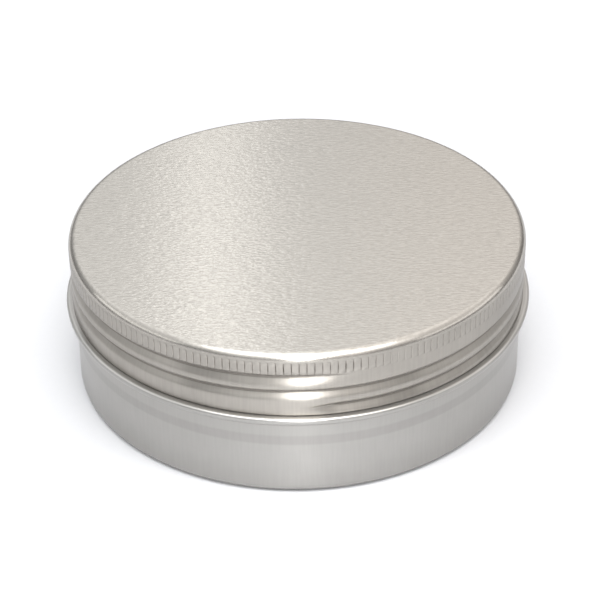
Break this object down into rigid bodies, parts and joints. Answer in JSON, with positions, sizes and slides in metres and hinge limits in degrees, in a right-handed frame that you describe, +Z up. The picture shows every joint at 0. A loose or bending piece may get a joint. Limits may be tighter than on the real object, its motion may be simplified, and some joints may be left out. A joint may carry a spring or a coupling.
{
  "type": "soap travel tin",
  "caption": "Shallow round aluminium tin with a knurled screw lid, a rolled shoulder bead and a foam sealing disc, for carrying a bar of soap.",
  "frame": {"origin": "centre of the underside, on the surface that the tin stands on", "axes": "+Z up along the screw axis through the lid; -Y is the front, where the rolled thread begins and ends; +X to the right of the front"},
  "size_m": [0.083, 0.083, 0.0284],
  "materials": {
    "base_aluminium": "satin, drawn",
    "lid_aluminium": "satin, with the sheet's rolling grain",
    "liner_foam": "matt closed-cell foam"
  },
  "bodies": {
    "base": {"base_cup": "base_aluminium"},
    "liner": {"lid_liner": "liner_foam"},
    "lid": {"lid_shell": "lid_aluminium"}
  },
  "joints": [
    {"name": "lid_lift", "type": "slide", "parent": "base", "child": "liner", "axis": [0, 0, 1], "range_m": [0, 0.0105]},
    {"name": "lid_turn", "type": "hinge", "parent": "liner", "child": "lid", "pos_m": [0, 0, 0], "axis": [0, 0, 1], "range_deg": [0, 1260]}
  ],
  "couplings": [
    {"joint": "lid_lift", "follows": "lid_turn", "m_per_rad": 0.00047746}
  ]
}
